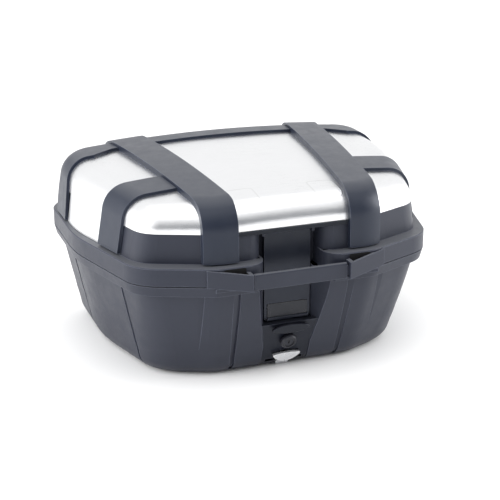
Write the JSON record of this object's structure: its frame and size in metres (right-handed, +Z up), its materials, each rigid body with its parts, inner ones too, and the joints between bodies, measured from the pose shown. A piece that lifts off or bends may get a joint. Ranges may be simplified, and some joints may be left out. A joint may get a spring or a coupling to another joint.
{
  "type": "motorcycle top case",
  "caption": "Hard motorcycle top case with brushed metal lid panels, wrap-over straps, hinged lid, latch lever, key lock and rack release tab.",
  "frame": {"origin": "centre of the case's footprint box, at the bottom of the rubber feet", "axes": "+X to the right seen from the lock side, +Y to the rear where the hinges are, +Z up; the lock faces -Y"},
  "size_m": [0.555, 0.44, 0.2993],
  "materials": {
    "textured_plastic": "matte fine-grained moulded plastic",
    "satin_plastic": "satin smooth moulded plastic",
    "dark_plastic": "dark moulded plastic",
    "gloss_black": "gloss black plastic",
    "brushed_aluminium": "fine brushed satin aluminium",
    "badge_metal": "dark satin badge plate",
    "silver": "satin silver paint",
    "steel": "zinc plated steel",
    "black_steel": "black coated steel",
    "lock_metal": "dark satin lock metal",
    "rubber": "black rubber"
  },
  "bodies": {
    "tub": {"lower_shell": "textured_plastic", "lock_housing": "satin_plastic", "oval_badge": "gloss_black", "lock_bezel": "lock_metal", "lug_left": "satin_plastic", "lug_right": "satin_plastic", "handle_bar": "satin_plastic", "rim_seal": "rubber", "base_plate": "dark_plastic", "feet": "rubber", "floor_mat": "rubber", "keeper": "steel", "hinge_leaf_lower_left": "black_steel", "hinge_leaf_lower_right": "black_steel", "hinge_pin_left": "steel", "hinge_pin_right": "steel", "hinge_screws_lower": "steel"},
    "lid": {"lid_shell": "textured_plastic", "skin_center": "brushed_aluminium", "skin_left": "brushed_aluminium", "skin_right": "brushed_aluminium", "strap_left": "satin_plastic", "strap_right": "satin_plastic", "side_strap_left": "satin_plastic", "side_strap_right": "satin_plastic", "rear_band": "satin_plastic", "rear_strap_left": "satin_plastic", "rear_strap_right": "satin_plastic", "front_trim": "dark_plastic", "lever_pin": "steel", "hinge_leaf_upper_left": "black_steel", "hinge_leaf_upper_right": "black_steel", "hinge_screws_upper": "steel"},
    "latch": {"latch_lever": "satin_plastic", "badge_plate": "badge_metal"},
    "cylinder": {"lock_cylinder": "lock_metal"},
    "release": {"release_tab": "silver", "mount_catch": "steel"}
  },
  "joints": [
    {"name": "lid_hinge", "type": "hinge", "parent": "tub", "child": "lid", "pos_m": [0, 0.215, 0.164], "axis": [-1, 0, 0], "range_deg": [0, 75]},
    {"name": "latch_hinge", "type": "hinge", "parent": "lid", "child": "latch", "pos_m": [0, -0.1555, 0.224], "axis": [-1, 0, 0], "range_deg": [0, 14]},
    {"name": "lock_turn", "type": "hinge", "parent": "tub", "child": "cylinder", "pos_m": [0, -0.165, 0.049], "axis": [0, -0.9455, -0.3256], "range_deg": [0, 90]},
    {"name": "release_slide", "type": "slide", "parent": "tub", "child": "release", "axis": [0, 0.9135, 0.4067], "range_m": [0, 0.004], "stiffness_N_per_m": 800}
  ]
}
